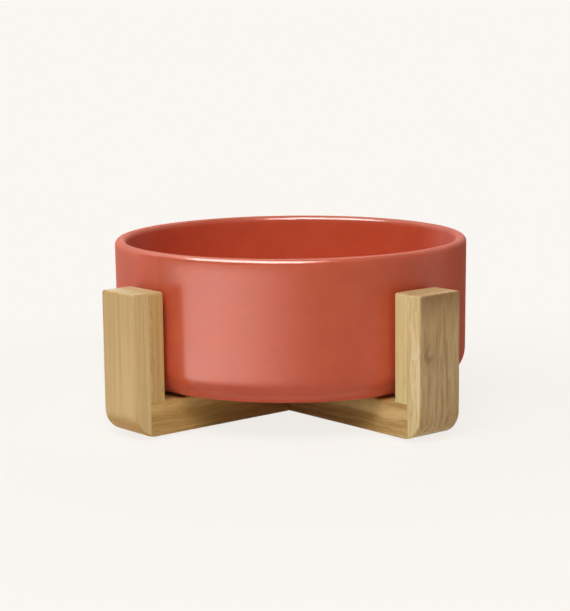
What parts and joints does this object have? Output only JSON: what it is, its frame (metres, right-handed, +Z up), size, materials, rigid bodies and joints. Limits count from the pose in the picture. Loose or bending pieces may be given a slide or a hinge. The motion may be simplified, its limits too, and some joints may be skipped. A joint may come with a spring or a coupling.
{
  "type": "pet food bowl with stand",
  "caption": "Round straight-sided ceramic food bowl that lifts out of a crossed bamboo stand, whose upright posts keep it from sliding off.",
  "frame": {"origin": "on the surface that the object stands on, under the middle of the bowl", "axes": "+Z is up, along the bowl's axis; the bars of the stand lie along X and Y"},
  "size_m": [0.188, 0.188, 0.0769],
  "materials": {
    "coral_glaze": "satin coral glaze",
    "bar_bamboo": "oiled bamboo, grain along the bar",
    "outer_ply_bamboo": "oiled bamboo, upright grain",
    "inner_ply_bamboo": "oiled bamboo, upright grain",
    "dowel_beech": "plain beech",
    "pad_rubber": "matt"
  },
  "bodies": {
    "stand": {"bar_lower": "bar_bamboo", "bar_upper": "bar_bamboo", "outer_ply_front_right": "outer_ply_bamboo", "outer_ply_back_right": "outer_ply_bamboo", "outer_ply_back_left": "outer_ply_bamboo", "outer_ply_front_left": "outer_ply_bamboo", "inner_ply_front_right": "inner_ply_bamboo", "inner_ply_back_right": "inner_ply_bamboo", "inner_ply_back_left": "inner_ply_bamboo", "inner_ply_front_left": "inner_ply_bamboo", "dowel_front_right": "dowel_beech", "dowel_back_right": "dowel_beech", "dowel_back_left": "dowel_beech", "dowel_front_left": "dowel_beech", "pad_front_right": "pad_rubber", "pad_back_right": "pad_rubber", "pad_back_left": "pad_rubber", "pad_front_left": "pad_rubber"},
    "bowl": {"bowl": "coral_glaze"}
  },
  "joints": [
    {"name": "bowl_lift", "type": "slide", "parent": "stand", "child": "bowl", "axis": [0, 0, 1], "range_m": [0, 0.08]}
  ]
}
